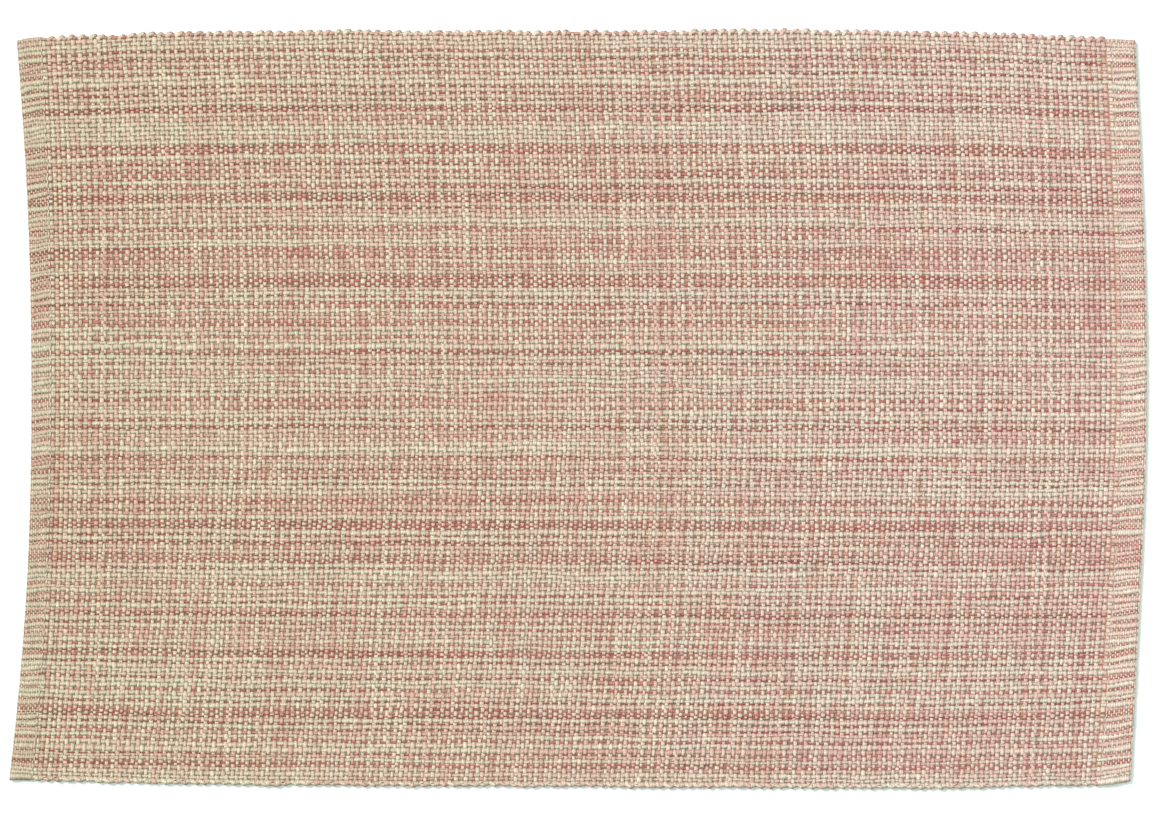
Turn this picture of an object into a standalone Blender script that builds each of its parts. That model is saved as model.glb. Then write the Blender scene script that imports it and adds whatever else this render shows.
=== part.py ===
"""Fabric placemat: a flat rectangle of thick plain-weave cotton with woven selvedges and two sewn end hems.

The cloth is one solid. +X runs along its length, +Y across it and +Z out of its face, in metres. The
origin is on the flat underside, at the middle of the outline's box.
"""

from collections import namedtuple

import bmesh
import bpy
import numpy as np

# Where the edges meet, as the mat lies: its sides are neither straight nor square
Corner = namedtuple("Corner", "x y")
NEAR_LEFT = Corner(-0.2474, -0.1606)
NEAR_RIGHT = Corner(0.2399, -0.1625)
FAR_LEFT = Corner(-0.2442, 0.1611)
FAR_RIGHT = Corner(0.2419, 0.1604)

# Each edge leaves its straight line by one, two and three half-waves, measured out of the cloth
Edge = namedtuple("Edge", "start end outward bow sway ripple")
NEAR_EDGE = Edge(NEAR_LEFT, NEAR_RIGHT, (0, -1), 0.0025, -0.0002, 0.0005)
FAR_EDGE = Edge(FAR_LEFT, FAR_RIGHT, (0, 1), 0.0038, -0.0002, 0.0007)
LEFT_EDGE = Edge(NEAR_LEFT, FAR_LEFT, (-1, 0), -0.0083, -0.0003, -0.0004)
RIGHT_EDGE = Edge(NEAR_RIGHT, FAR_RIGHT, (1, 0), 0.0056, -0.0003, -0.0002)

# The body is one layer of thick yarns, and a hem is two finer layers pressed together
BODY_THICKNESS = 0.0024
HEM_THICKNESS = 0.0026
STITCH_THICKNESS = 0.0019  # the hem's stitching pulls the cloth down
EDGE_THICKNESS = 0.0015
EDGE_ROUNDING = 0.0014

# Sizes along a hem, from the near edge of the cloth to the far one. Its slope is that of its warp yarns,
# rising towards +X: the turned cloth is drawn a little askew.
AlongHem = namedtuple("AlongHem", "near middle far")
LEFT_HEM_WIDTH = AlongHem(0.0104, 0.0090, 0.0111)
LEFT_HEM_SLOPE = AlongHem(-0.03, 0.13, 0.12)
RIGHT_HEM_WIDTH = AlongHem(0.0135, 0.0114, 0.0111)
RIGHT_HEM_SLOPE = AlongHem(0.13, 0.10, 0.02)
GROOVE_WIDTH = 0.0016  # over the stitching

# The weft turns back once in every two picks, and each turn stands proud of the selvedge
LOOPS = 108
LOOP_REACH = 0.0011
LOOP_UNEVENNESS = 0.3  # share of its reach by which one loop may fall short
LOOP_LEAN = 1.9  # over 1, the top of each loop leans towards +X
LOOP_SEED = 5
FAR_LOOPS_LATE = 0.5  # the far loops lie between the near ones, because each pick joins one to the next

# Mesh density: a column of faces holds two loops, and the selvedges alone are divided more finely
LOOPS_PER_COLUMN = 2
POINTS_PER_LOOP = 4
BODY_COLUMNS = LOOPS // LOOPS_PER_COLUMN
BODY_ROWS = 8
GRID_DIGITS = 4  # enough to number the lines, and free of 32-bit noise

COTTON_COLOUR = (0.57, 0.41, 0.32, 1.0)
COTTON_ROUGHNESS = 0.93

LENGTH = FAR_RIGHT.x - FAR_LEFT.x
WIDTH = FAR_LEFT.y - NEAR_LEFT.y

# Lines across the cloth, by their thickness: the left fold, its hem and stitching, the body, and back again
HEM_LINES = (EDGE_THICKNESS, HEM_THICKNESS, HEM_THICKNESS, HEM_THICKNESS, STITCH_THICKNESS)
LINE_TOPS = HEM_LINES + (BODY_THICKNESS,) * (BODY_COLUMNS + 1) + HEM_LINES[::-1]
FIRST_BODY_LINE = len(HEM_LINES)
LAST_BODY_LINE = FIRST_BODY_LINE + BODY_COLUMNS

# Rows along the cloth, as shares of its width
EDGE_ROW = EDGE_ROUNDING / WIDTH
ROW_PLACES = np.concatenate(([0.0], np.linspace(EDGE_ROW, 1 - EDGE_ROW, BODY_ROWS + 1), [1.0]))


def clear_scene():
    """Empties the file, so that a rerun starts clean."""
    for old in list(bpy.data.objects):
        bpy.data.objects.remove(old, do_unlink=True)


def edge_point(edge, t):
    """The point a share t along an edge: its straight line plus three sine half-waves."""
    drift = sum(size * np.sin(waves * np.pi * t) for waves, size in enumerate(edge[3:], start=1))
    return (1 - t) * np.array(edge.start) + t * np.array(edge.end) + drift * np.array(edge.outward)


def sheet_point(u, v):
    """The point a share u along and v across the cloth, blended from its four edges."""
    along = (1 - v) * edge_point(NEAR_EDGE, u) + v * edge_point(FAR_EDGE, u)
    across = (1 - u) * edge_point(LEFT_EDGE, v) + u * edge_point(RIGHT_EDGE, v)
    near = (1 - u) * np.array(NEAR_LEFT) + u * np.array(NEAR_RIGHT)
    far = (1 - u) * np.array(FAR_LEFT) + u * np.array(FAR_RIGHT)
    return along + across - (1 - v) * near - v * far


def along_hem(sizes, v):
    """A hem's size a share v across the cloth: the parabola through its three values."""
    ends = sizes.near * (2 * v - 1) * (v - 1) + sizes.far * v * (2 * v - 1)
    return ends + sizes.middle * 4 * v * (1 - v)


def line_places(v):
    """How far along the cloth each line across it stands: the hem's lines follow its stitching."""
    left = along_hem(LEFT_HEM_WIDTH, v) / LENGTH
    right = 1 - along_hem(RIGHT_HEM_WIDTH, v) / LENGTH
    rounding = EDGE_ROUNDING / LENGTH
    groove = GROOVE_WIDTH / 2 / LENGTH
    left_hem = (0, rounding, left / 2, left - groove, left)
    right_hem = (right, right + groove, (1 + right) / 2, 1 - rounding, 1)
    return np.concatenate((left_hem, np.linspace(left + groove, right - groove, BODY_COLUMNS + 1), right_hem))


def loop_reaches():
    """Each weft loop's reach, on the near and the far selvedge."""
    rng = np.random.default_rng(LOOP_SEED)
    return LOOP_REACH * (1 - LOOP_UNEVENNESS * rng.random((2, LOOPS)))


def loop_bulge(line, reaches, late):
    """How far the selvedge stands out at a line or between two. Its first loop starts late by a share."""
    loop, share = divmod((line - FIRST_BODY_LINE) * LOOPS_PER_COLUMN - late, 1)
    if not 0 <= loop < LOOPS - (late > 0):
        return 0.0
    return reaches[int(loop)] * np.sin(np.pi * share**LOOP_LEAN)


def hem_rise(u, v):
    """How far a hem's slope lifts a point, by its distance outside the stitching."""
    left = LENGTH * u - along_hem(LEFT_HEM_WIDTH, v)
    right = LENGTH * (u - 1) + along_hem(RIGHT_HEM_WIDTH, v)
    return along_hem(LEFT_HEM_SLOPE, v) * min(left, 0.0) + along_hem(RIGHT_HEM_SLOPE, v) * max(right, 0.0)


def surface_point(line, row, reaches):
    """The cloth's top point at a place counted in lines across and rows along."""
    v = np.interp(row, range(len(ROW_PLACES)), ROW_PLACES)
    u = np.interp(line, range(len(LINE_TOPS)), line_places(v))
    x, y = sheet_point(u, v)
    y += hem_rise(u, v)
    top = np.interp(line, range(len(LINE_TOPS)), LINE_TOPS)
    if row in (0, len(ROW_PLACES) - 1):
        far = row > 0
        if far:
            y += loop_bulge(line, reaches[1], FAR_LOOPS_LATE)
        else:
            y -= loop_bulge(line, reaches[0], 0.0)
        top = EDGE_THICKNESS
    return x, y, top


def grid_count(place, lines):
    """The number of a grid line from its place between -1 and 1, with parts between two lines."""
    return round((place + 1) / 2 * (lines - 1), GRID_DIGITS)


def selvedge_edges(bm):
    """The grid's outer edges along both selvedges, where the weft loops stand."""
    found = []
    for edge in bm.edges:
        lines = [grid_count(vert.co.x, len(LINE_TOPS)) for vert in edge.verts]
        rows = {grid_count(vert.co.y, len(ROW_PLACES)) for vert in edge.verts}
        outermost = rows in ({0}, {len(ROW_PLACES) - 1})
        if outermost and min(lines) >= FIRST_BODY_LINE and max(lines) <= LAST_BODY_LINE:
            found.append(edge)
    return found


def build_cloth():
    """A grid of lines and rows, fine along the selvedges, laid on the outline and given its walls."""
    bm = bmesh.new()
    bmesh.ops.create_grid(bm, x_segments=len(LINE_TOPS) - 1, y_segments=len(ROW_PLACES) - 1, size=1.0)
    cuts = LOOPS_PER_COLUMN * POINTS_PER_LOOP - 1
    bmesh.ops.subdivide_edges(bm, edges=selvedge_edges(bm), cuts=cuts)
    extruded = bmesh.ops.extrude_face_region(bm, geom=bm.faces[:])["geom"]
    upper = {item for item in extruded if isinstance(item, bmesh.types.BMVert)}
    reaches = loop_reaches()
    for vert in bm.verts:
        line = grid_count(vert.co.x, len(LINE_TOPS))
        row = grid_count(vert.co.y, len(ROW_PLACES))
        x, y, top = surface_point(line, row, reaches)
        vert.co = (x, y, top if vert in upper else 0.0)
    bmesh.ops.recalc_face_normals(bm, faces=bm.faces[:])
    return bm


def centre_on_origin(bm):
    """Moves the middle of the outline's box over the origin."""
    places = np.array([vert.co for vert in bm.verts])
    middle = (places.min(axis=0) + places.max(axis=0)) / 2
    bmesh.ops.translate(bm, verts=bm.verts[:], vec=(-middle[0], -middle[1], 0.0))


def cotton():
    """The cloth's average colour, matt."""
    material = bpy.data.materials.new("rose_and_cream_cotton")
    material.use_nodes = True
    shader = material.node_tree.nodes["Principled BSDF"]
    shader.inputs["Base Color"].default_value = COTTON_COLOUR
    shader.inputs["Roughness"].default_value = COTTON_ROUGHNESS
    shader.inputs["Metallic"].default_value = 0.0
    return material


def main():
    """Builds the cloth in a collection of its own."""
    clear_scene()
    collection = bpy.data.collections.new("fabric_placemat")
    bpy.context.scene.collection.children.link(collection)
    bm = build_cloth()
    centre_on_origin(bm)
    mesh = bpy.data.meshes.new("placemat_cloth")
    bm.to_mesh(mesh)
    bm.free()
    mesh.materials.append(cotton())
    collection.objects.link(bpy.data.objects.new("placemat_cloth", mesh))


if __name__ == "__main__":
    main()
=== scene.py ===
"""Fabric placemat, dressed: every yarn of its plain weave, its turned-in hems and their stitching.

Warp ends run along +X, and one weft yarn goes back and forth across them with a loop at each turn. At both
ends finer picks are woven in, and that cloth is folded under and sewn down. Everything is in metres, in the
frame's own axes, and follows the outline of the cloth's solid.
"""

import logging
from dataclasses import astuple, dataclass
from enum import Enum
from typing import Any, Optional

import bpy
import numpy as np
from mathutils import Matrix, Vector


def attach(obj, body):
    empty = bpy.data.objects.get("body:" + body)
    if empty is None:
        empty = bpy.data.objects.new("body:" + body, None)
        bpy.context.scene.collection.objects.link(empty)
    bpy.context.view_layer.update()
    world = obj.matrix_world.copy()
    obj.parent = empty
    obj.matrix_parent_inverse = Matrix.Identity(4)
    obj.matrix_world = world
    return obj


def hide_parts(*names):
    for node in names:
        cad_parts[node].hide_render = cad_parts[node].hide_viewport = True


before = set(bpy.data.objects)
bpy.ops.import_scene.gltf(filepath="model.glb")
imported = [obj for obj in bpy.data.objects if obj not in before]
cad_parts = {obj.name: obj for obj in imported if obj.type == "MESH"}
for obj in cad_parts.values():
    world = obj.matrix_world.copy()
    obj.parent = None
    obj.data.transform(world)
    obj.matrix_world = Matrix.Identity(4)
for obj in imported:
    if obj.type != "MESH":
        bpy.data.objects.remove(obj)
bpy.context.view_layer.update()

Array = np.ndarray
Rng = np.random.Generator
Piece = bpy.types.Object
Material = bpy.types.Material
Socket = bpy.types.NodeSocket
Pair = tuple[float, float]
Triple = tuple[float, float, float]
Colour = tuple[float, float, float, float]  # linear, with alpha

LOG = logging.getLogger("placemat")

PHOTO_WIDTH = 1160
METRES_PER_PIXEL = 0.000434


# ---- The outline of the cloth ----


@dataclass(frozen=True)
class Edge:
    """One side of the mat: a straight line that one, two and three half-waves carry outwards."""

    start: Pair
    end: Pair
    outward: Pair
    bow: float
    sway: float
    ripple: float

    def at(self, t: Array) -> Array:
        """The line's point plus, along outward, the sum of each size times sin(waves pi t).

        Args:
            t: shares along the edge, in an array of any shape.

        Returns:
            Their points, with x and y on a last axis.
        """
        sizes = (self.bow, self.sway, self.ripple)
        drift = sum(size * np.sin(waves * np.pi * t) for waves, size in enumerate(sizes, start=1))
        t = t[..., None]
        straight = (1 - t) * np.array(self.start) + t * np.array(self.end)
        return straight + drift[..., None] * np.array(self.outward)


@dataclass(frozen=True)
class AlongHem:
    """A size that changes along a hem, given at the near edge, in the middle and at the far edge."""

    near: float
    middle: float
    far: float

    def at(self, v: Array) -> Array:
        """The parabola through the three values, at shares v from the near edge to the far one."""
        ends = self.near * (2 * v - 1) * (v - 1) + self.far * v * (2 * v - 1)
        return ends + self.middle * 4 * v * (1 - v)


NEAR_LEFT = (-0.2474, -0.1606)
NEAR_RIGHT = (0.2399, -0.1625)
FAR_LEFT = (-0.2442, 0.1611)
FAR_RIGHT = (0.2419, 0.1604)


@dataclass(frozen=True)
class MatPlan:
    """The mat seen from above, as its solid is: u runs along +X and v across it along +Y, from 0 to 1."""

    near: Edge = Edge(NEAR_LEFT, NEAR_RIGHT, (0, -1), 0.0025, -0.0002, 0.0005)
    far: Edge = Edge(FAR_LEFT, FAR_RIGHT, (0, 1), 0.0038, -0.0002, 0.0007)
    left: Edge = Edge(NEAR_LEFT, FAR_LEFT, (-1, 0), -0.0083, -0.0003, -0.0004)
    right: Edge = Edge(NEAR_RIGHT, FAR_RIGHT, (1, 0), 0.0056, -0.0003, -0.0002)
    left_hem: AlongHem = AlongHem(0.0104, 0.0090, 0.0111)
    right_hem: AlongHem = AlongHem(0.0135, 0.0114, 0.0111)
    left_slope: AlongHem = AlongHem(-0.03, 0.13, 0.12)
    right_slope: AlongHem = AlongHem(0.13, 0.10, 0.02)
    edge_points: int = 400  # to find the outline's box by

    @property
    def length(self) -> float:
        """The straight distance between the far corners."""
        return FAR_RIGHT[0] - FAR_LEFT[0]

    def middle(self) -> Array:
        """The middle of the outline's box, which the solid has over its origin."""
        t = np.linspace(0, 1, self.edge_points)
        points = np.concatenate([edge.at(t) for edge in (self.near, self.far, self.left, self.right)])
        return (points.min(axis=0) + points.max(axis=0)) / 2

    def place(self, u: Array, v: Array) -> Array:
        """Where a point of the cloth lies on the table.

        The blend of the four edges: near to far by v, plus left to right by u, less the blend of the four
        corners. In a hem, y is then raised by the hem's slope times the distance outside its stitching.

        Args:
            u: shares along the mat.
            v: shares across it, in an array of the same shape.

        Returns:
            The points, with x and y on a last axis.
        """
        u, v = np.broadcast_arrays(u, v)
        u1, v1 = u[..., None], v[..., None]
        along = (1 - v1) * self.near.at(u) + v1 * self.far.at(u)
        across = (1 - u1) * self.left.at(v) + u1 * self.right.at(v)
        near = (1 - u1) * np.array(NEAR_LEFT) + u1 * np.array(NEAR_RIGHT)
        far = (1 - u1) * np.array(FAR_LEFT) + u1 * np.array(FAR_RIGHT)
        points = along + across - (1 - v1) * near - v1 * far - self.middle()
        outside_left = np.minimum(self.length * u - self.left_hem.at(v), 0)
        outside_right = np.maximum(self.length * (u - 1) + self.right_hem.at(v), 0)
        points[..., 1] += self.left_slope.at(v) * outside_left + self.right_slope.at(v) * outside_right
        return points


# ---- Chance, smoothed ----


def soft_noise(rng: Rng, shape: tuple[int, ...], reach: tuple[float, ...]) -> Array:
    """White noise blurred by a Gaussian on each axis, brought back to a mean of 0 and a deviation of 1.

    Args:
        rng: the seeded source of chance.
        shape: the array's shape.
        reach: the blur's deviation on each axis, in cells; 0 leaves an axis as it is.

    Returns:
        The noise, which wraps round at its edges.
    """
    spectrum = np.fft.fftn(rng.standard_normal(shape))
    for axis, (count, cells) in enumerate(zip(shape, reach)):
        fade = np.exp(-2 * (np.pi * np.fft.fftfreq(count) * cells) ** 2)
        spectrum *= fade.reshape([-1 if k == axis else 1 for k in range(len(shape))])
    noise = np.fft.ifftn(spectrum).real
    return (noise - noise.mean()) / noise.std()


def soft_step(values: Array, low: float, high: float) -> Array:
    """0 below low, 1 above high, and 3t^2 - 2t^3 of the share t between them."""
    t = np.clip((values - low) / (high - low), 0, 1)
    return t * t * (3 - 2 * t)


def unit(vectors: Array) -> Array:
    """The vectors on the last axis, each divided by its length."""
    return vectors / np.linalg.norm(vectors, axis=-1, keepdims=True)


# ---- Dyed cotton ----


class Dye(Enum):
    """The cottons' colours, as linear red, green and blue, in order of redness."""

    CREAM = (0.635, 0.545, 0.428)
    BLUSH = (0.598, 0.390, 0.316)
    ROSE = (0.465, 0.184, 0.152)
    BRICK = (0.312, 0.084, 0.071)


def dyed(redness: Array) -> Array:
    """The colour for each redness from 0 to 1, read along the dyes in equal steps.

    Args:
        redness: values in an array of any shape.

    Returns:
        Linear colours, on a last axis of three.
    """
    stops = np.linspace(0, 1, len(Dye))
    channels = np.array([dye.value for dye in Dye]).T
    return np.stack([np.interp(redness, stops, channel) for channel in channels], axis=-1)


@dataclass(frozen=True)
class Stripe:
    """A soft stripe in the warp: its place from the far selvedge, its breadth in ends and its redness."""

    place: float
    ends: float
    redness: float


STRIPES = (
    Stripe(0.005, 2.0, -0.8),
    Stripe(0.061, 1.5, -0.8),
    Stripe(0.099, 1.5, 0.9),
    Stripe(0.126, 2.5, -0.9),
    Stripe(0.155, 1.5, 1.2),
    Stripe(0.168, 1.2, -0.7),
    Stripe(0.192, 1.5, 0.9),
    Stripe(0.220, 2.0, 0.9),
    Stripe(0.248, 2.0, -1.4),
    Stripe(0.276, 2.5, -0.8),
    Stripe(0.295, 1.0, 0.9),
    Stripe(0.304, 1.0, -0.7),
    Stripe(0.332, 1.5, 0.8),
    Stripe(0.388, 1.5, -0.7),
    Stripe(0.426, 1.5, 0.8),
    Stripe(0.459, 1.5, -0.8),
    Stripe(0.547, 2.0, -0.8),
    Stripe(0.613, 1.0, -0.7),
    Stripe(0.622, 1.0, 0.9),
    Stripe(0.655, 2.0, 0.9),
    Stripe(0.697, 1.5, 0.8),
    Stripe(0.716, 1.5, -0.9),
    Stripe(0.809, 1.0, -0.7),
    Stripe(0.818, 1.5, 0.9),
    Stripe(0.865, 1.5, -0.8),
    Stripe(0.902, 1.5, 0.9),
    Stripe(0.987, 2.0, -0.7),
)


@dataclass(frozen=True)
class Dyehouse:
    """How the yarns were dyed: the warp end by end, the weft in short lengths along the yarn."""

    end_seed: int = 1248
    warp_seed: int = 17
    weft_seed: int = 23
    red_ends: float = 0.44  # share of the ends
    blush_ends: float = 0.13
    cream: Pair = (0.02, 0.20)  # the least redness of such an end, and what chance may add
    blush: Pair = (0.30, 0.16)
    red: Pair = (0.62, 0.38)
    stripe_pull: float = 1.3  # a stripe's weight against chance
    stripe_spread: float = 0.65  # a stripe's deviation, against its breadth
    contrast: float = 0.4  # how far an end differs from its neighbours: over 0, kinds alternate
    warp_run: float = 14.0  # crossings over which an end changes
    warp_change: float = 0.12
    spot_run: float = 3.0  # the same for its redder spots
    spot_redness: float = 0.20
    spot_levels: Pair = (1.1, 2.2)  # of the noise, where a spot starts and where it is full
    yarn_run: float = 60.0  # crossings over which the weft changes: slowly, by lengths and quickly
    weft_run: float = 4.5
    quick_run: float = 1.2
    weft_redness: float = 0.15
    weft_change: Triple = (0.06, 0.10, 0.09)  # by each of the three
    pink_redness: float = 0.14  # what the pinkest lengths have more
    pink_levels: Pair = (1.1, 2.0)
    weft_limit: float = 0.38
    tone: float = 0.05  # unevenness of the depth of dye
    depth_runs: Pair = (30.0, 0.6)  # crossings over which it changes, slowly and quickly
    slow_depth: float = 0.3  # the slow change against the quick one
    lot: Triple = (1.07, 1.05, 1.13)  # how the colour changes towards +X: partly the cotton's own change and partly a painted cast of the light
    lot_length: float = 0.247

    def end_redness(self, places: Array) -> Array:
        """Each warp end's own redness: cream, blush or red by chance, leaning with the stripes.

        A stripe leans by its redness times exp(-d^2 / 2), d being the distance from it in its deviations.
        Chance is white noise less the contrast times its two neighbours. The ends are ranked by the sum.

        Args:
            places: where each end lies across the mat, from 0 at the near selvedge to 1 at the far one.

        Returns:
            Redness from 0 to 1.
        """
        rng = np.random.default_rng(self.end_seed)
        ends = len(places)
        lean = np.zeros(ends)
        for stripe in STRIPES:
            away = (1 - places - stripe.place) * ends / (stripe.ends * self.stripe_spread)
            lean += stripe.redness * np.exp(-(away**2) / 2)
        chance = rng.standard_normal(ends)
        chance = np.convolve(chance, (-self.contrast, 1, -self.contrast), "same")
        chance /= chance.std()
        order = np.argsort(np.argsort(chance + self.stripe_pull * lean)) / ends
        kinds = (self.cream, self.blush, self.red)
        cream, blush, red = (least + more * rng.random(ends) for least, more in kinds)
        red_from = 1 - self.red_ends
        blush_from = red_from - self.blush_ends
        return np.where(order < blush_from, cream, np.where(order < red_from, blush, red))

    def warp(self, ends: Array, rings: int) -> Array:
        """The warp's redness: each end's own, with a slow change and redder spots along it.

        Args:
            ends: each end's own redness.
            rings: how many places there are along an end.

        Returns:
            Redness from 0 to 1, by end and place.
        """
        rng = np.random.default_rng(self.warp_seed)
        shape = (len(ends), rings)
        change = self.warp_change * soft_noise(rng, shape, (0.0, self.warp_run))
        spots = self.spot_redness * soft_step(soft_noise(rng, shape, (0.0, self.spot_run)), *self.spot_levels)
        return np.clip(ends[:, None] + change + spots, 0, 1)

    def weft(self, rings: int, seed: int) -> Array:
        """The weft's redness along its yarn: cream, with pinker lengths between soft ends.

        Args:
            rings: how many places along the yarn.
            seed: added to the weft's own seed.

        Returns:
            Redness from 0 to the weft's limit.
        """
        rng = np.random.default_rng(self.weft_seed + seed)
        length, quick, slow = (
            soft_noise(rng, (rings,), (run,)) for run in (self.weft_run, self.quick_run, self.yarn_run)
        )
        by_slow, by_length, by_quick = self.weft_change
        pink = self.pink_redness * soft_step(length, *self.pink_levels)
        redness = self.weft_redness + by_slow * slow + by_length * length + by_quick * quick + pink
        return np.clip(redness, 0, self.weft_limit)

    def colours(self, redness: Array, x: Array, seed: int) -> Array:
        """The dyes' colours, unevenly deep, times the drift's factors to the power of x over its length; the
        drift is partly the cotton's own and partly a painted cast of the light.

        Args:
            redness: from 0 to 1, by yarn and ring.
            x: where each lies along the mat.
            seed: for the unevenness.

        Returns:
            Linear colours, on a last axis of three.
        """
        rng = np.random.default_rng(seed)
        slow, quick = (soft_noise(rng, redness.shape, (0.0, run)) for run in self.depth_runs)
        depth = self.slow_depth * slow + quick
        # partly the cotton's own colour and partly a painted cast of the light, lighter and bluer towards +X
        lot = np.array(self.lot) ** (x / self.lot_length)[..., None]
        return dyed(redness) * lot * (1 + self.tone * depth)[..., None]


# ---- Yarns as tubes ----


SIDES = 4  # of a yarn's tube


@dataclass
class YarnPaths:
    """Yarns as chains of rings: each array has a row for each yarn and a column for each ring."""

    middles: Array  # points on the cloth's middle layer
    normals: Array  # the cloth's normals there
    offsets: Array  # how far the yarn stands off that layer
    half_widths: Array
    half_thicknesses: Array
    colours: Array
    crests: Array  # 1 where the yarn is on top and 0 where it dives; it sets the painted shade and the bump
    edges: Array  # the share of its lightness that the painted shade takes along the yarn's edges

    def part(self, rows: slice) -> "YarnPaths":
        """The same paths, cut to some rows."""
        return YarnPaths(**{name: values[rows] for name, values in vars(self).items()})


@dataclass(frozen=True)
class Spinning:
    """Turns yarn paths into a mesh of closed four-sided tubes with a flat top, shaded round by smooth normals
    and by painted shade on their lower corners.
    """

    material: Material
    top_crest: float = 0.91  # how much of a crest's value, for the painted shade and the bump, the yarn's upper corners have
    side_crest: float = 0.7  # and its lower ones, darker in the painted shade
    ply_pitch: float = 0.0022
    ply_cap: float = 0.1  # side of an end's cap in the ply's layout
    margin: float = 0.02
    cap_width: float = 0.8  # of the margin
    cap_inset: float = 0.1

    def spin(self, name: str, paths: YarnPaths, band: int) -> Piece:
        """Builds the tubes.

        A ring's corners stand a half-width to either side of its middle and a half-thickness over and under
        it, from the upper left one round. Across is the normal's cross product with the yarn's direction.

        Args:
            name: the piece's name.
            paths: the yarns.
            band: how many segments share one band of the texture layout.

        Returns:
            The finished piece.
        """
        chains, rings = paths.offsets.shape
        across = unit(np.cross(paths.normals, np.gradient(paths.middles, axis=1)))
        centres = paths.middles + paths.normals * paths.offsets[..., None]
        side = np.array([1, -1, -1, 1])
        up = np.array([1, 1, -1, -1])
        sideways = (paths.half_widths[..., None] * side)[..., None] * across[:, :, None]
        upwards = (paths.half_thicknesses[..., None] * up)[..., None] * paths.normals[:, :, None]
        points = (centres[:, :, None] + sideways + upwards).reshape(-1, 3)

        corner = np.arange(chains * rings * SIDES).reshape(chains, rings, SIDES)
        turned = np.roll(corner, -1, axis=2)
        walls = np.stack([corner[:, :-1], turned[:, :-1], turned[:, 1:], corner[:, 1:]], axis=-1)
        caps = np.concatenate([corner[:, 0, ::-1], corner[:, -1]])
        obj = mesh_piece(name, points, np.concatenate([walls.reshape(-1, 4), caps]), self.material)

        # crest and edge set the painted shade: darker where the yarn dives, on its lower corners and along
        # its edges
        crest = paths.crests[..., None] * np.where(up > 0, self.top_crest, self.side_crest)
        add_attribute(obj, "crest", crest.ravel())
        add_attribute(obj, "edge", np.repeat(paths.edges.ravel(), SIDES))
        add_attribute(obj, "dye", np.repeat(paths.colours.reshape(-1, 3), SIDES, axis=0))
        add_layout(obj, "Ply", self.ply_layout(centres))
        add_layout(obj, "OFBake", self.band_layout(chains, rings, band))
        return obj

    def ply_layout(self, centres: Array) -> Array:
        """A layout that follows the twist: turns of the ply along the yarn, and shares of the way round.

        Args:
            centres: the rings' centres, by yarn and ring.

        Returns:
            One place for each corner of each face, walls first.
        """
        steps = np.linalg.norm(np.diff(centres, axis=1), axis=-1)
        ends = np.cumsum(steps, axis=1) / self.ply_pitch
        starts = ends - steps / self.ply_pitch
        whole = np.floor(starts)
        u = np.stack([starts, starts, ends, ends], axis=-1) - whole[..., None]
        u = np.repeat(u[:, :, None], SIDES, axis=2)
        side = np.arange(SIDES) / SIDES
        v = np.stack([side, side + 1 / SIDES, side + 1 / SIDES, side], axis=-1)
        walls = np.stack([u, np.broadcast_to(v, u.shape)], axis=-1).reshape(-1, 2)
        cap = self.ply_cap * np.array([[0, 0], [1, 0], [1, 1], [0, 1]])
        return np.concatenate([walls, np.tile(cap, (2 * len(centres), 1))])

    def band_layout(self, chains: int, rings: int, band: int) -> Array:
        """A layout without overlaps: yarn in bands one above the other, with its caps in the margins.

        Args:
            chains: how many yarns there are.
            rings: how many rings each has.
            band: how many segments a band holds.

        Returns:
            One place for each corner of each face, walls first.
        """
        segments = rings - 1
        number = np.arange(chains)[:, None] * segments + np.arange(segments)
        row, place = divmod(number, band)
        rows = int(row.max()) + 1
        low = self.margin + (1 - 2 * self.margin) * place / band
        high = low + (1 - 2 * self.margin) / band
        u = np.repeat(np.stack([low, low, high, high], axis=-1)[:, :, None], SIDES, axis=2)
        side = np.arange(SIDES)
        share = np.stack([side, side + 1, side + 1, side], axis=-1) / SIDES
        v = (row[..., None, None] + self.margin + (1 - 2 * self.margin) * share) / rows
        walls = np.stack([u, v], axis=-1).reshape(-1, 2)
        inset, outset = self.cap_inset, 1 - self.cap_inset
        inner = np.concatenate([np.zeros(chains), np.full(chains, 1 - outset * self.margin)])
        bottom = np.concatenate([row[:, 0], row[:, -1]]) / rows
        cap_u = inner[:, None] + self.cap_width * self.margin * np.array([inset, 1, 1, inset])
        cap_v = bottom[:, None] + np.array([inset, inset, outset, outset]) / rows
        return np.concatenate([walls, np.stack([cap_u, cap_v], axis=-1).reshape(-1, 2)])


def mesh_piece(name: str, points: Array, quads: Array, material: Material) -> Piece:
    """Makes an object from arrays of points and four-cornered faces, shaded smooth.

    Args:
        name: the piece's name.
        points: one row of x, y and z for each point.
        quads: one row of four point numbers for each face.
        material: the finish.

    Returns:
        The object, in the scene, at the origin.
    """
    mesh = bpy.data.meshes.new(name)
    mesh.vertices.add(len(points))
    mesh.vertices.foreach_set("co", points.astype(np.float32).ravel())
    mesh.loops.add(quads.size)
    mesh.loops.foreach_set("vertex_index", quads.astype(np.int32).ravel())
    mesh.polygons.add(len(quads))
    mesh.polygons.foreach_set("loop_start", np.arange(0, quads.size, 4, dtype=np.int32))
    mesh.update(calc_edges=True)
    mesh.shade_smooth()
    mesh.materials.append(material)
    return add_object(name, mesh)


def add_object(name: str, data: bpy.types.ID) -> Piece:
    """Puts an object with this data in the scene."""
    obj = bpy.data.objects.new(name, data)
    bpy.context.scene.collection.objects.link(obj)
    return obj


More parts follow.
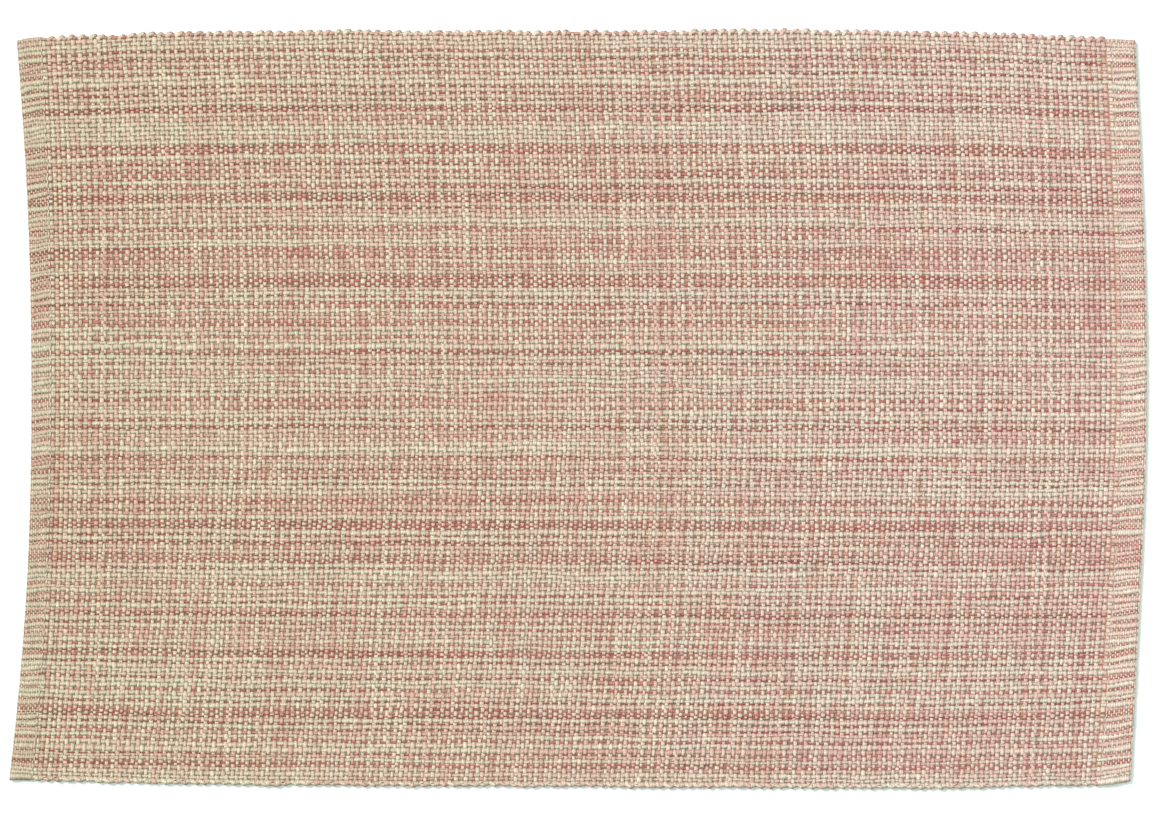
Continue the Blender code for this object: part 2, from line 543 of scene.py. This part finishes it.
def add_attribute(obj: Piece, name: str, values: Array) -> None:
    """Gives each point a number, or a colour where values has three columns.

    Args:
        obj: the piece.
        name: the attribute's name.
        values: one row for each point.
    """
    if values.ndim == 1:
        layer = obj.data.attributes.new(name, "FLOAT", "POINT")
        layer.data.foreach_set("value", values.astype(np.float32))
        return
    layer = obj.data.color_attributes.new(name, "FLOAT_COLOR", "POINT")
    rgba = np.concatenate([values, np.ones((len(values), 1))], axis=1)
    layer.data.foreach_set("color", rgba.astype(np.float32).ravel())


def add_layout(obj: Piece, name: str, places: Array) -> None:
    """Gives each corner of each face its place in a UV map."""
    layer = obj.data.uv_layers.new(name=name)
    layer.uv.foreach_set("vector", places.astype(np.float32).ravel())


# ---- Shader maths ----


class Value:
    """A number's socket, so that shader maths reads as arithmetic."""

    def __init__(self, graph: "Graph", socket: Socket) -> None:
        """Keeps the socket and the graph that it belongs to."""
        self.graph = graph
        self.socket = socket

    def maths(self, operation: str, *terms: Any) -> "Value":
        """Adds a Math node on these terms and returns its result."""
        numbered = {str(place): term for place, term in enumerate(terms)}
        node = self.graph.node("ShaderNodeMath", {"operation": operation}, numbered)
        return Value(self.graph, node.outputs[0])

    def __add__(self, other: Any) -> "Value":
        """self + other."""
        return self.maths("ADD", self, other)

    __radd__ = __add__

    def __sub__(self, other: Any) -> "Value":
        """self - other."""
        return self.maths("SUBTRACT", self, other)

    def __rsub__(self, other: Any) -> "Value":
        """other - self."""
        return self.maths("SUBTRACT", other, self)

    def __mul__(self, other: Any) -> "Value":
        """self * other."""
        return self.maths("MULTIPLY", self, other)

    __rmul__ = __mul__

    def sine(self) -> "Value":
        """The sine, in radians."""
        return self.maths("SINE", self)


class Graph:
    """The node tree of one material."""

    def __init__(self, name: str) -> None:
        """Starts a material with its Principled BSDF."""
        self.material = bpy.data.materials.new(name)
        self.material.use_nodes = True
        self.tree = self.material.node_tree
        self.shader = self.tree.nodes["Principled BSDF"]

    def node(
        self, kind: str, settings: Optional[dict] = None, inputs: Optional[dict] = None
    ) -> bpy.types.Node:
        """Adds a node.

        Args:
            kind: the node's type.
            settings: its properties, set first.
            inputs: by a socket's name, identifier or number, the number, colour, Value or socket for it.

        Returns:
            The node.
        """
        node = self.tree.nodes.new(kind)
        for name, setting in (settings or {}).items():
            setattr(node, name, setting)
        for name, value in (inputs or {}).items():
            self.feed(node, name, value)
        return node

    def feed(self, node: bpy.types.Node, name: str, value: Any) -> None:
        """Links a Value or a socket to a node's input, or sets the input to a number or colour."""
        named = [s for s in node.inputs if name in (s.identifier, s.name)]
        socket = node.inputs[int(name)] if name.isdigit() else named[0]
        if isinstance(value, Value):
            value = value.socket
        if isinstance(value, Socket):
            self.tree.links.new(value, socket)
        else:
            socket.default_value = value

    def attribute(self, name: str, output: str) -> Socket:
        """The output of an Attribute node that reads this attribute."""
        return self.node("ShaderNodeAttribute", {"attribute_name": name}).outputs[output]

    def vector_maths(self, operation: str, inputs: dict) -> Socket:
        """The vector output of a Vector Math node on these inputs."""
        return self.node("ShaderNodeVectorMath", {"operation": operation}, inputs).outputs[0]

    def noise(self, scale: float) -> Socket:
        """A noise from 0 to 1 through the piece's own space."""
        places = self.node("ShaderNodeTexCoord").outputs["Object"]
        return self.node("ShaderNodeTexNoise", {}, {"Vector": places, "Scale": scale}).outputs["Fac"]

    def bump(self, height: Any, unit_height: float) -> None:
        """Gives the shader a bump of this height, in units of so many metres."""
        node = self.node("ShaderNodeBump", {}, {"Height": height, "Distance": unit_height})
        self.feed(self.shader, "Normal", node.outputs[0])

    def finish(self, colour: Any, roughness: float, specular: float) -> Material:
        """Sets what every finish has, and returns the material."""
        self.feed(self.shader, "Base Color", colour)
        self.feed(self.shader, "Roughness", roughness)
        self.feed(self.shader, "Specular IOR Level", specular)
        return self.material


@dataclass(frozen=True)
class CottonFinish:
    """Matt spun cotton in the colour of each yarn's dye, with painted shade where the yarn dives, along its
    edges and in its ply's twist.
    """

    crevice: float = 0.70  # lightness where a yarn dives, in painted shade
    fleck: float = 0.18  # unevenness of the dye among the fibres
    fleck_scale: float = 1500.0
    plies: int = 2
    # painted shade in the grooves of the ply's twist
    ply_shade: float = 0.10
    warmth: Triple = (0.95, 1.02, 1.08)  # how much of the painted shade each channel takes
    ply_height: float = 0.045  # this and the next two, in the unit of height
    float_height: float = 0.26
    fibre_height: float = 0.03
    height_unit: float = 0.001
    roughness: float = 0.88
    specular: float = 0.2
    sheen: float = 0.12

    def material(self) -> Material:
        """The dye, times the painted shades of crevice, edge and ply and the fibres' fleck; a bump for all
        but the edge.

        The edge's painted shade is the square of the cosine that is 1 along the tube's corners and 0 between
        them.

        Returns:
            The material.
        """
        graph = Graph("spun_cotton_painted_shade")
        crest = Value(graph, graph.attribute("crest", "Fac"))
        layout = graph.node("ShaderNodeUVMap", {"uv_map": "Ply"}).outputs[0]
        ply = graph.node("ShaderNodeSeparateXYZ", {}, {"Vector": layout})
        along, around = (Value(graph, ply.outputs[axis]) for axis in ("X", "Y"))
        twist = ((along + around) * (2 * np.pi * self.plies)).sine()
        fibre = Value(graph, graph.noise(self.fleck_scale))

        swing = (around * (np.pi * SIDES)).sine()
        edge = Value(graph, graph.attribute("edge", "Fac")) * (1 - swing * swing)
        # painted shade: lighter on a crest, darker where the yarn dives and along its edges
        rounded = 1 - (1 - crest) * (1 - crest)
        shade = (self.crevice + (1 - self.crevice) * rounded) * (1 - edge)
        shade = shade * (1 + self.fleck * 2 * (fibre - 0.5)) * (1 + self.ply_shade * twist)
        # the painted shade takes less from red than from blue, so it is warmer
        lost = graph.vector_maths("SCALE", {"Vector": self.warmth, "Scale": 1 - shade})
        kept = graph.vector_maths("SUBTRACT", {"0": (1.0, 1.0, 1.0), "1": lost})
        colour = graph.vector_maths("MULTIPLY", {"0": graph.attribute("dye", "Color"), "1": kept})
        height = rounded * self.float_height + twist * self.ply_height + fibre * self.fibre_height
        graph.bump(height, self.height_unit)
        graph.feed(graph.shader, "Sheen Weight", self.sheen)
        return graph.finish(colour, self.roughness, self.specular)


@dataclass(frozen=True)
class ShadedGround:
    """The fibres deep between the yarns: brown, with painted shade."""

    colour: Colour = (0.50, 0.34, 0.24, 1.0)
    # the deeper painted shade
    deep: Colour = (0.36, 0.23, 0.155, 1.0)
    scale: float = 900.0
    height: float = 0.0002
    roughness: float = 0.95
    specular: float = 0.1

    def material(self) -> Material:
        """Two browns of the fibres in painted shade, mixed by a fine noise, matt.

        Returns:
            The material.
        """
        graph = Graph("shaded_fibres")
        noise = graph.noise(self.scale)
        colours = {"Factor_Float": noise, "A_Color": self.colour, "B_Color": self.deep}
        mix = graph.node("ShaderNodeMix", {"data_type": "RGBA"}, colours)
        mixed = next(s for s in mix.outputs if s.identifier == "Result_Color")
        graph.bump(noise, self.height)
        return graph.finish(mixed, self.roughness, self.specular)


# ---- The weave ----


@dataclass(frozen=True)
class HemFold:
    """A hem's section: a top layer, a fold at the mat's end, and a layer under it, back to the stitching."""

    picks: int
    top: float = 0.00185  # the top layer's middle
    groove: float = 0.00165  # where the stitching pulls it down
    under: float = 0.00062
    tuck: float = 0.0004  # the under layer ends this far short of the stitching

    def section(self, width: Array) -> tuple[Array, Array]:
        """The middle of the cloth at each fine pick, from the under layer's end to the stitching.

        Straight runs share the picks evenly. Round the fold, a half circle about the middle between the
        layers, lie two picks, at 45 degrees below and above. The last place is the stitching's groove.

        Args:
            width: the hem's width at each warp end.

        Returns:
            The distance from the mat's end, by warp end and place, and the height, by place.
        """
        radius = (self.top - self.under) / 2
        bend = 2 * radius
        share = (np.arange(self.picks) + 0.5) / self.picks
        slant = radius * np.sqrt(0.5)
        under = (width[:, None] - self.tuck) + (bend - width[:, None] + self.tuck) * share
        top = bend + (width[:, None] - bend) * share
        fold = np.full((len(width), 2), bend - slant)
        distance = np.concatenate([under, fold, top, width[:, None]], axis=1)
        middle = (self.top + self.under) / 2
        heights = [self.under] * self.picks + [middle - slant, middle + slant] + [self.top] * self.picks
        return distance, np.array(heights + [self.groove])


@dataclass
class Weave:
    """The grid on which every yarn lies: warp ends by places along them, with hems, fold and body."""

    plan: MatPlan = MatPlan()
    dyehouse: Dyehouse = Dyehouse()
    ends: int = 214
    picks: int = 216
    left_fold: HemFold = HemFold(9)
    right_fold: HemFold = HemFold(11)
    body_height: float = 0.00125  # the body's middle
    hem_tone: Pair = (0.95, 1.07)  # painted light on the left and the right hem against the body: the left darker, the right lighter
    seed: int = 3
    red_thinness: float = 0.66  # how much less room a red end takes than a cream one
    end_unevenness: float = 0.12  # of that room
    room_rounds: int = 4  # of giving out redness and room in turns
    end_drift: float = 0.16  # in ends
    end_reach: Pair = (0.6, 2.5)  # of that drift, in ends and places
    pick_drift: float = 0.14  # in picks
    pick_wave: float = 0.3
    wave_reach: Pair = (40.0, 7.0)
    pick_jitter: float = 0.09
    jitter_reach: Pair = (1.0, 0.5)
    held_picks: float = 8.0  # next to a hem, its stitching holds this many picks in their places
    held_least: float = 0.4  # the first keeps this much of its shift, out of held_picks
    slope_step: float = 0.001  # of v, to find the way across by

    def __post_init__(self) -> None:
        """Works out the middle layer: its points, its normals, the hems' painted light and the number of each
        place.
        """
        rng = np.random.default_rng(self.seed)
        plan = self.plan
        even = self.space_ends(rng)
        left, right = plan.left_hem.at(even), plan.right_hem.at(even)
        left_distance, left_height = self.left_fold.section(left)
        right_distance, right_height = self.right_fold.section(right)
        self.left_places = left_distance.shape[1]
        self.right_places = right_distance.shape[1]
        places = self.left_places + self.picks + self.right_places

        start = (left / plan.length)[:, None]
        span = 1 - (right / plan.length)[:, None] - start
        body = start + span * self.space_picks(rng)
        from_right = 1 - right_distance[:, ::-1] / plan.length
        u = np.concatenate([left_distance / plan.length, body, from_right], axis=1)
        drift = self.end_drift * soft_noise(rng, (self.ends, places), self.end_reach)
        v = even[:, None] + drift / self.ends
        heights = np.concatenate([left_height, np.full(self.picks, self.body_height), right_height[::-1]])

        self.middles = np.empty((self.ends, places, 3))
        self.middles[..., :2] = plan.place(u, v)
        self.middles[..., 2] = heights
        sideways = np.zeros_like(self.middles)
        sideways[..., :2] = plan.place(u, v + self.slope_step) - plan.place(u, v - self.slope_step)
        self.normals = unit(np.cross(np.gradient(self.middles, axis=1), sideways))
        self.end_number = np.arange(self.ends)[:, None]
        self.place_number = np.arange(places)[None, :] - self.left_places
        self.in_body = (self.place_number >= 0) & (self.place_number < self.picks)
        self.in_groove = (self.place_number == -1) | (self.place_number == self.picks)
        left_hem_light, right_hem_light = self.hem_tone
        # the hems' painted light: painted shade on the left hem, painted light on the right one
        self.tone = np.where(self.in_body, 1.0, np.where(self.place_number < 0, left_hem_light, right_hem_light))

    def space_ends(self, rng: Rng) -> Array:
        """Gives each end its redness, by where it lies, and its room, by how red it is, a few times over.

        Args:
            rng: the seeded source of chance.

        Returns:
            Each end's share of the way across the mat.
        """
        chance = 1 + self.end_unevenness * rng.standard_normal(self.ends)
        even = (np.arange(self.ends) + 0.5) / self.ends
        for _ in range(self.room_rounds):
            self.end_redness = self.dyehouse.end_redness(even)
            room = (1 - self.red_thinness * self.end_redness) * chance
            self.end_room = room / room.mean()
            even = (np.cumsum(self.end_room) - self.end_room / 2) / self.ends
        return even

    def space_picks(self, rng: Rng) -> Array:
        """The body's picks in even places, shifted by a drift, a wave and a jitter, less so beside a hem.

        Args:
            rng: the seeded source of chance.

        Returns:
            Shares of the way along the body, by end and pick.
        """
        shape = (self.ends, self.picks)
        drift = self.pick_drift * rng.standard_normal(self.picks)
        wave = self.pick_wave * soft_noise(rng, shape, self.wave_reach)
        wave += self.pick_jitter * soft_noise(rng, shape, self.jitter_reach)
        number = np.arange(self.picks)
        held = np.minimum((np.minimum(number, number[::-1]) + self.held_least) / self.held_picks, 1)
        return (number + 0.5 + (drift + wave) * held) / self.picks

    def warp_on_top(self) -> Array:
        """1 where the warp crosses over the weft, -1 where it dives, and 0 in a groove, in plain weave."""
        odd = (self.end_number + self.place_number) % 2
        return np.where(self.in_groove, 0, np.where(odd == 1, 1, -1))


@dataclass(frozen=True)
class YarnSize:
    """A yarn's size where it stands on top, and how much narrower it is where it dives."""

    half_width: float
    half_thickness: float
    reach: float  # how far its crests stand off the cloth's middle
    dive: float


SLUB_REACH = (0.0, 0.9)  # over one place or so, a yarn grows thicker and thinner


@dataclass(frozen=True)
class WarpYarns:
    """The warp: all the ends, from the fold under one hem to the fold under the other."""

    weave: Weave
    body: YarnSize = YarnSize(0.00070, 0.00040, 0.00044, 0.72)
    hem: YarnSize = YarnSize(0.00084, 0.00022, 0.00018, 0.94)
    cream_width: float = 1.12  # of a cream end, against its room
    red_width: float = 0.58
    hem_red_width: float = 0.46
    red_slimness: float = 0.3  # how much thinner and lower a red end lies than a cream one
    hem_crest: Pair = (0.60, 0.80)  # in the hems, the crest where the warp dives and where it is on top, which keeps their painted shade shallow
    # painted shade along an end's edges: deep for a cream end, slight for a red one
    cream_edge: float = 0.48
    red_edge: float = 0.08
    slub: float = 0.14
    seed: int = 31

    def paths(self) -> YarnPaths:
        """The ends' paths over the whole weave.

        Returns:
            Paths with a row for each end, from the near selvedge.
        """
        weave = self.weave
        rng = np.random.default_rng(self.seed)
        over = weave.warp_on_top()
        shape = weave.middles.shape[:2]
        in_body = np.broadcast_to(weave.in_body, shape)
        slub = 1 + self.slub * soft_noise(rng, shape, SLUB_REACH)
        sizes = zip(astuple(self.body), astuple(self.hem))
        half_width, half_thickness, reach, dive = (np.where(in_body, *pair) for pair in sizes)
        crest = (over + 1) / 2
        low, high = self.hem_crest
        redness = weave.dyehouse.warp(weave.end_redness, shape[1])
        colours = weave.dyehouse.colours(redness, weave.middles[..., 0], self.seed + 1)
        red = weave.end_redness[:, None]
        red_width = np.where(in_body, self.red_width, self.hem_red_width)
        room = weave.end_room[:, None] * (self.cream_width + (red_width - self.cream_width) * red)
        slim = 1 - self.red_slimness * red
        return YarnPaths(
            middles=weave.middles,
            normals=weave.normals,
            offsets=over * slim * reach,
            half_widths=half_width * room * np.where(over > 0, 1, dive) * slub,
            half_thicknesses=slim * half_thickness * slub,
            # times the hems' painted light
            colours=colours * weave.tone[..., None],
            # crests and edges set the painted shade
            crests=np.where(in_body, crest, low + (high - low) * crest),
            edges=np.broadcast_to(self.cream_edge + (self.red_edge - self.cream_edge) * red, shape),
        )

    def build(self, spinning: Spinning) -> list[Piece]:
        """Spins the ends in three pieces.

        Args:
            spinning: makes the tubes.

        Returns:
            The pieces.
        """
        paths = self.paths()
        band = paths.offsets.shape[1] - 1
        names = ("warp_near", "warp_middle", "warp_far")
        rows = np.linspace(0, self.weave.ends, len(names) + 1).astype(int)
        return [
            spinning.spin(name, paths.part(slice(first, last)), band)
            for name, first, last in zip(names, rows[:-1], rows[1:])
        ]


@dataclass(frozen=True)
class Turn:
    """How the weft turns at a selvedge, at shares of the way from one pick to the next."""

    shares: tuple[float, ...] = (0.15, 0.35, 0.58, 0.80, 0.93)
    peak: float = 0.7
    rise: float = 1.2  # the powers of the quarter waves before and after the peak
    fall: float = 0.5
    plunge: int = 3  # the power of the share in its height
    reach: float = 0.00095  # beyond the outermost end's middle
    lead: float = 0.25  # how far it runs ahead towards the next pick before it turns in
    fullness: float = 1.2  # its width against the yarn's in the cloth
    # painted shade along the loop's edges
    edge: float = 0.35
    unevenness: float = 0.25

    def bulge(self) -> Array:
        """How far out it stands, as a share of its reach: a slow slant out to the peak, then a steep fall."""
        t = np.array(self.shares)
        rise = np.sin(np.pi / 2 * np.minimum(t / self.peak, 1)) ** self.rise
        fall = np.cos(np.pi / 2 * np.maximum(t - self.peak, 0) / (1 - self.peak)) ** self.fall
        return rise * fall


def back_and_forth(values: Array, number: Array) -> Array:
    """Values by end and pick, put by pick and end, with the picks of an even number running backwards."""
    rows = np.swapaxes(values, 0, 1).copy()
    even = number % 2 == 0
    rows[even] = rows[even, ::-1]
    return rows


def one_yarn(picks: Array, turns: Array) -> Array:
    """Values by pick and ring, in a single row with those of the turn after each pick but the last."""
    spare = np.zeros_like(turns[:1])
    rows = np.concatenate([picks, np.concatenate([turns, spare])], axis=1)
    return rows.reshape(1, -1, *rows.shape[2:])[:, : -turns.shape[1]]


@dataclass(frozen=True)
class WeftYarn:
    """Weft picks as one yarn that goes back and forth and turns round the outermost ends."""

    weave: Weave
    size: YarnSize = YarnSize(0.00076, 0.00042, 0.00044, 0.85)
    turn: Turn = Turn()
    crest: Pair = (0.0, 1.0)  # the crest, for the painted shade and the bump, where the weft dives and where it is on top
    # painted shade along the picks' edges
    edge: float = 0.0
    pinkness: float = 1.0  # of the dye, against the body's weft
    slub: float = 0.14
    seed: int = 47

    def paths(self, first: int, last: int) -> YarnPaths:
        """The path of a run of picks, as one chain: each pick and then its turn.

        A turn's middles go from the pick's last crossing to the next pick's first, running ahead by the lead
        times a half sine, plus the turn's bulge along the mean outward direction. Its height is the cosine
        of pi times a power of the share, so that it dives late.

        Args:
            first: the first pick's place, counted from the body's first.
            last: one past the last pick's place.

        Returns:
            Paths with a single row.
        """
        weave, size, turn = self.weave, self.size, self.turn
        rng = np.random.default_rng(self.seed + abs(first))
        number = np.arange(first, last)
        columns = number + weave.left_places
        grids = (weave.middles, weave.normals, -weave.warp_on_top())
        middles, normals, over = (back_and_forth(grid[:, columns], number) for grid in grids)

        t = np.array(turn.shares)[:, None]
        here, there = middles[:-1, -1][:, None], middles[1:, 0][:, None]
        outward = (middles[:-1, -1] - middles[:-1, -2]) + (middles[1:, 0] - middles[1:, 1])
        outward[:, 2] = 0
        outward = unit(outward)
        reach = turn.reach * (1 - turn.unevenness * rng.random(len(outward)))
        bulge = (outward * reach[:, None])[:, None] * turn.bulge()[:, None]
        turn_middles = here + (there - here) * (t + turn.lead * np.sin(np.pi * t)) + bulge
        turn_normals = normals[:-1, -1][:, None] + (normals[1:, 0] - normals[:-1, -1])[:, None] * t
        turn_over = over[:-1, -1][:, None] * np.cos(np.pi * t[:, 0] ** turn.plunge)

        turning = one_yarn(np.zeros(over.shape), np.ones(turn_over.shape))
        middles = one_yarn(middles, turn_middles)
        normals = unit(one_yarn(normals, turn_normals))
        over = one_yarn(over, turn_over)
        rings = over.shape[1]
        slub = 1 + self.slub * soft_noise(rng, (1, rings), SLUB_REACH)
        width = size.half_width * (size.dive + (1 - size.dive) * (over + 1) / 2)
        low, high = self.crest
        redness = self.pinkness * weave.dyehouse.weft(rings, abs(first))[None, :]
        colours = weave.dyehouse.colours(redness, middles[..., 0], self.seed + abs(first) + 1)
        return YarnPaths(
            middles=middles,
            normals=normals,
            offsets=over * size.reach,
            half_widths=width * (1 + (turn.fullness - 1) * turning) * slub,
            half_thicknesses=size.half_thickness * slub,
            # times the hems' painted light
            colours=colours * weave.tone[0, columns[0]],
            # crests and edges set the painted shade
            crests=low + (high - low) * np.clip((over + 1) / 2, 0, 1),
            edges=self.edge + (turn.edge - self.edge) * turning,
        )

    def build(self, name: str, first: int, last: int, spinning: Spinning) -> Piece:
        """Spins a run of picks, from the first place up to the last, as one piece."""
        band = self.weave.ends + len(self.turn.shares)
        return spinning.spin(name, self.paths(first, last), band)


@dataclass(frozen=True)
class HemStitching:
    """A row of stitches along each hem's inner edge, in cream thread."""

    weave: Weave
    pitch: float = 0.0032
    gap: float = 0.0006  # between one stitch and the next
    half_width: float = 0.00025
    half_thickness: float = 0.0002
    top: float = 0.00208
    hole: float = 0.0014
    arch: float = 0.5  # the power of the half sine that a stitch follows
    hole_crest: float = 0.5  # how much of its lightness it keeps at a hole, in painted shade
    lean: float = 0.00012  # by chance, to either side
    redness: float = 0.05
    # painted shade along the thread's edges
    edge: float = 0.2
    rings: int = 6
    seed: int = 61

    def build(self, name: str, place: int, spinning: Spinning) -> Piece:
        """Lays one stitch after the other along the groove: each an arch between two holes.

        Args:
            name: the piece's name.
            place: the groove's place, counted from the body's first pick.
            spinning: makes the tubes.

        Returns:
            The piece.
        """
        rng = np.random.default_rng(self.seed)
        line = self.weave.middles[:, self.weave.left_places + place]
        run = np.concatenate([[0], np.cumsum(np.linalg.norm(np.diff(line, axis=0), axis=1))])
        stitches = int(run[-1] / self.pitch)
        start = np.linspace(0, run[-1] - self.pitch, stitches) + self.gap / 2
        share = np.linspace(0, 1, self.rings)
        spots = start[:, None] + (self.pitch - self.gap) * share
        middles = np.stack([np.interp(spots, run, line[:, axis]) for axis in range(3)], axis=-1)
        middles[..., 0] += self.lean * rng.standard_normal((stitches, 1))
        middles[..., 2] = 0
        half_sine = np.sin(np.pi * share)
        ones = np.ones_like(spots)
        paths = YarnPaths(
            middles=middles,
            normals=np.broadcast_to(np.array([0.0, 0.0, 1.0]), middles.shape),
            offsets=ones * (self.hole + (self.top - self.hole) * half_sine**self.arch),
            half_widths=ones * self.half_width,
            half_thicknesses=ones * self.half_thickness,
            colours=dyed(ones * self.redness),
            # crests and edges set the painted shade
            crests=ones * (self.hole_crest + (1 - self.hole_crest) * half_sine),
            edges=ones * self.edge,
        )
        return spinning.spin(name, paths, self.rings - 1)


@dataclass(frozen=True)
class GroundCloth:
    """A thin closed sheet in the middle of the weave, folded with the hems, that closes its gaps: it stands
    for the fuzz and the painted shade deep between the yarns.
    """

    weave: Weave
    half_thickness: float = 0.00005
    row_step: int = 3
    body_step: int = 4

    def build(self, material: Material) -> Piece:
        """Two copies of the middle layer, half the thickness off it to either side, joined round the edge.

        Args:
            material: the finish.

        Returns:
            The piece.
        """
        weave = self.weave
        rows = np.append(np.arange(0, weave.ends - 1, self.row_step), weave.ends - 1)
        number = weave.place_number[0]
        kept = (number < 0) | (number >= weave.picks) | (number % self.body_step == 0)
        middles = weave.middles[rows][:, kept]
        off = self.half_thickness * weave.normals[rows][:, kept]
        points = np.concatenate([(middles + off).reshape(-1, 3), (middles - off).reshape(-1, 3)])
        count, places = middles.shape[:2]
        upper = np.arange(count * places).reshape(count, places)
        lower = upper + count * places
        faces = [grid_quads(upper), grid_quads(lower)[:, ::-1]]
        rim = np.concatenate([upper[0, :-1], upper[:-1, -1], upper[-1, :0:-1], upper[:0:-1, 0]])
        under = rim + count * places
        faces.append(np.stack([np.roll(rim, -1), rim, under, np.roll(under, -1)], axis=-1))
        return mesh_piece("fibre_and_shade_sheet", points, np.concatenate(faces), material)

    def flat_size(self) -> Pair:
        """Its length with both turned-in ends, and its width, measured along the middle of each."""
        middles = self.weave.middles
        length = np.linalg.norm(np.diff(middles[middles.shape[0] // 2], axis=0), axis=1).sum()
        width = np.linalg.norm(np.diff(middles[:, middles.shape[1] // 2], axis=0), axis=1).sum()
        return float(length), float(width)


def grid_quads(numbers: Array) -> Array:
    """The faces of a grid of point numbers, counter-clockwise where rows go along +Y and columns along +X."""
    near, far = numbers[:-1], numbers[1:]
    return np.stack([near[:, :-1], near[:, 1:], far[:, 1:], far[:, :-1]], axis=-1).reshape(-1, 4)


# ---- Floor, light and camera ----


@dataclass(frozen=True)
class Studio:
    """A white floor under soft light from the far left, with a camera straight above."""

    floor_half: float = 3.0
    floor_top: float = -0.0001
    floor_colour: Colour = (0.93, 0.93, 0.93, 1.0)
    floor_roughness: float = 0.9
    floor_specular: float = 0.1
    sky: Triple = (0.86, 1.0, 0.93)
    sky_strength: float = 0.92
    key_place: Triple = (-4.0, 3.2, 4.8)
    key_size: float = 2.6
    key_power: float = 498.0
    key_colour: Triple = (1.0, 0.92, 0.96)
    eye_height: float = 2.0
    aim: Pair = (0.0009, 0.0004)
    sensor: float = 36.0

    def build(self) -> None:
        """Sets up the floor, the light, the sky and the camera."""
        self.lay_floor()
        self.hang_light()
        self.paint_sky()
        self.place_camera()
        bpy.context.scene.view_settings.view_transform = "Standard"

    def lay_floor(self) -> None:
        """A flat square, a little under the cloth."""
        half, top = self.floor_half, self.floor_top
        points = np.array([[-half, -half, top], [half, -half, top], [half, half, top], [-half, half, top]])
        paper = Graph("pale_floor").finish(self.floor_colour, self.floor_roughness, self.floor_specular)
        floor = mesh_piece("floor", points, np.array([[0, 1, 2, 3]]), paper)

    def hang_light(self) -> None:
        """A large square lamp that faces the mat."""
        lamp = bpy.data.lights.new("key_light", "AREA")
        lamp.size = self.key_size
        lamp.energy = self.key_power
        lamp.color = self.key_colour
        obj = add_object("key_light", lamp)
        obj.location = self.key_place
        obj.rotation_euler = Vector(self.key_place).to_track_quat("Z", "Y").to_euler()

    def paint_sky(self) -> None:
        """Even, slightly cool light from all round."""
        world = bpy.data.worlds.new("soft_sky")
        world.use_nodes = True
        background = world.node_tree.nodes["Background"]
        background.inputs["Color"].default_value = (*self.sky, 1.0)
        background.inputs["Strength"].default_value = self.sky_strength
        bpy.context.scene.world = world

    def place_camera(self) -> None:
        """A long lens straight above, framed to the photograph's width."""
        lens = bpy.data.cameras.new("camera")
        lens.sensor_width = self.sensor
        lens.lens = self.sensor * self.eye_height / (PHOTO_WIDTH * METRES_PER_PIXEL)
        camera = add_object("camera", lens)
        camera.location = (*self.aim, self.eye_height)
        bpy.context.scene.camera = camera


# ---- The whole mat ----


def build_mat() -> None:
    weave = Weave()
    spinning = Spinning(CottonFinish().material())
    pieces = WarpYarns(weave).build(spinning)
    weft = WeftYarn(weave)
    fine = WeftYarn(
        weave,
        size=YarnSize(half_width=0.00025, half_thickness=0.00014, reach=0.00014, dive=0.95),
        turn=Turn(reach=0.0007, lead=0.0, fullness=1.0, unevenness=0.1),
        # the fine weft's painted shade stays shallow
        crest=(0.65, 0.85),
        pinkness=0.1,
    )
    half = weave.picks // 2
    runs = (
        (weft, "weft_left", 0, half),
        (weft, "weft_right", half, weave.picks),
        (fine, "hem_weft_left", -weave.left_places, -1),
        (fine, "hem_weft_right", weave.picks + 1, weave.picks + weave.right_places),
    )
    pieces += [yarn.build(name, first, last, spinning) for yarn, name, first, last in runs]
    grooves = {"stitching_left": -1, "stitching_right": weave.picks}
    stitching = HemStitching(weave)
    pieces += [stitching.build(name, place, spinning) for name, place in grooves.items()]
    shade_sheet = GroundCloth(weave)
    # the sheet stands for the fuzz and the painted shade between the yarns
    cloth = shade_sheet.build(ShadedGround().material())
    for piece in [cloth, *pieces]:
        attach(piece, "root")
        LOG.info("%s: %d faces", piece.name, len(piece.data.polygons))
    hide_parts("placemat_cloth")
    LOG.info("flat size %s", shade_sheet.flat_size())


def main() -> None:
    """Builds the mat and the studio."""
    logging.basicConfig(level=logging.INFO, format="%(message)s")
    build_mat()
    Studio().build()


if __name__ == "__main__":
    main()
